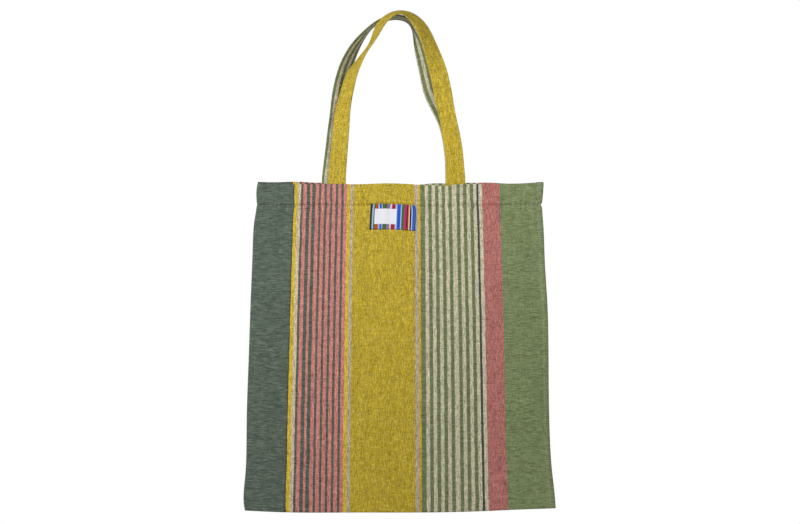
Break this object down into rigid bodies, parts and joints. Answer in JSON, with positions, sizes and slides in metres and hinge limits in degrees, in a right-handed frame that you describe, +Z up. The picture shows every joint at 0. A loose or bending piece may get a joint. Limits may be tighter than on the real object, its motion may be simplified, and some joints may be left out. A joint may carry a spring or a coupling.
{
  "type": "tote bag",
  "caption": "Flat tote bag in woven-striped canvas with two twisted fabric handles, a turned-in hem and a small woven label, hanging empty.",
  "frame": {"origin": "the point under the handles' arch that a hook or peg carries, on the bag's mid plane", "axes": "+Z up, front faces -Y, +X to the viewer's right when looking at the front"},
  "size_m": [0.38, 0.0492, 0.6577],
  "materials": {
    "striped_canvas": "matt plain-weave cotton canvas with lengthwise coloured stripes",
    "strap_canvas": "matt plain-weave cotton canvas, yellow on the outer face and striped on the inner face",
    "label_weave": "fine satin-woven label",
    "thread": "matt spun polyester thread"
  },
  "bodies": {
    "bag": {"front_panel": "striped_canvas", "back_panel": "striped_canvas", "front_hem": "striped_canvas", "back_hem": "striped_canvas", "left_side_seam": "striped_canvas", "right_side_seam": "striped_canvas", "bottom_seam": "striped_canvas", "front_left_tail": "strap_canvas", "front_right_tail": "strap_canvas", "back_left_tail": "strap_canvas", "back_right_tail": "strap_canvas", "woven_label": "label_weave", "front_hem_stitching": "thread", "back_hem_stitching": "thread", "front_anchor_stitching": "thread", "back_anchor_stitching": "thread", "label_stitching": "thread", "left_seam_stitching": "thread", "right_seam_stitching": "thread", "bottom_seam_stitching": "thread"},
    "front_handle": {"front_handle": "strap_canvas", "front_handle_stitching": "thread"},
    "back_handle": {"back_handle": "strap_canvas", "back_handle_stitching": "thread"}
  },
  "joints": [
    {"name": "front_handle_fold", "type": "hinge", "parent": "bag", "child": "front_handle", "pos_m": [0, -0.0085, -0.23], "axis": [1, 0, 0], "range_deg": [0, 165]},
    {"name": "back_handle_fold", "type": "hinge", "parent": "bag", "child": "back_handle", "pos_m": [0, 0.0085, -0.228], "axis": [-1, 0, 0], "range_deg": [0, 165]}
  ]
}
